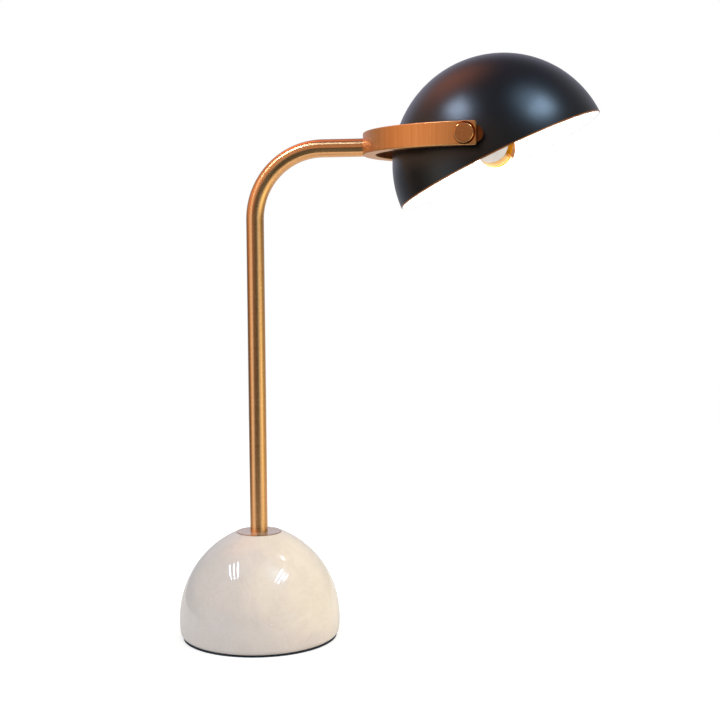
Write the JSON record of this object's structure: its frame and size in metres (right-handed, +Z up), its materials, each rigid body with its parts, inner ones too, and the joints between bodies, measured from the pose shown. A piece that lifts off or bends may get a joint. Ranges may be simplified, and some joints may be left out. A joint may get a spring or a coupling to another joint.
{
  "type": "dome shade desk lamp",
  "caption": "Desk lamp with a polished stone dome base, a bent brass stem, a half-ring yoke and a hemispherical metal shade that tilts on friction pivots over an opal bulb.",
  "frame": {"origin": "centre of the flat underside of the base pad, on the axis of the upright stem", "axes": "+Z up along the stem; +X from the stem towards the shade, along the arm; +Y completes the right-handed frame and is parallel to the shade's tilt axis"},
  "size_m": [0.3799, 0.2206, 0.5208],
  "materials": {
    "stone": "polished cream marble with a faint mottle",
    "pad": "dark soft pad",
    "brass": "brushed brass with a copper tone",
    "bright_brass": "smooth brass",
    "steel": "zinc-plated steel",
    "black_paint": "black satin outside, white matt inside",
    "white_paint": "white paint",
    "black_rubber": "matt black",
    "fibre": "matt dark fibre",
    "block_white": "moulded white",
    "lead_white": "white sheath",
    "core_red": "insulated cores",
    "ceramic": "glazed ceramic",
    "cap_metal": "rolled bright metal",
    "cap_black": "glossy black insulator",
    "opal": "opal glass",
    "inner_glass": "glass stem that holds the light source"
  },
  "bodies": {
    "stand": {"base_stone": "stone", "base_pad": "pad", "cover_disc": "brass", "clamp_washer": "steel", "clamp_nut": "steel", "threaded_rod": "steel", "outlet_bush": "black_rubber", "terminal_block": "block_white", "terminal_screws": "steel", "earth_tag": "bright_brass", "stem_bushing": "steel", "stem_tube": "brass", "stand_wires": "core_red", "stand_lead": "lead_white", "yoke": "brass", "yoke_lead": "lead_white", "bearing_plates": "bright_brass", "wave_washers": "steel", "pivot_caps": "brass"},
    "shade": {"shade_shell": "black_paint", "friction_washers": "fibre", "outer_saddles": "brass", "inner_saddles": "steel", "hollow_pivots": "steel", "pivot_nuts": "steel", "shade_lead": "lead_white", "bracket_studs": "steel", "holder_bracket": "white_paint", "bracket_nuts": "steel", "entry_nipple": "steel", "nipple_nut": "steel", "holder_cup": "bright_brass", "holder_core": "ceramic", "core_ring": "bright_brass", "holder_terminals": "bright_brass", "holder_wires": "core_red", "screw_shell": "bright_brass", "centre_contact": "bright_brass", "bulb_cap": "cap_metal", "bulb_insulator": "cap_black", "bulb_contact": "cap_metal", "bulb_glass": "opal", "bulb_stem": "inner_glass"}
  },
  "joints": [
    {"name": "shade_tilt", "type": "hinge", "parent": "stand", "child": "shade", "pos_m": [0.1974, 0, 0.4443], "axis": [0, 1, 0], "range_deg": [-65, 45]}
  ]
}
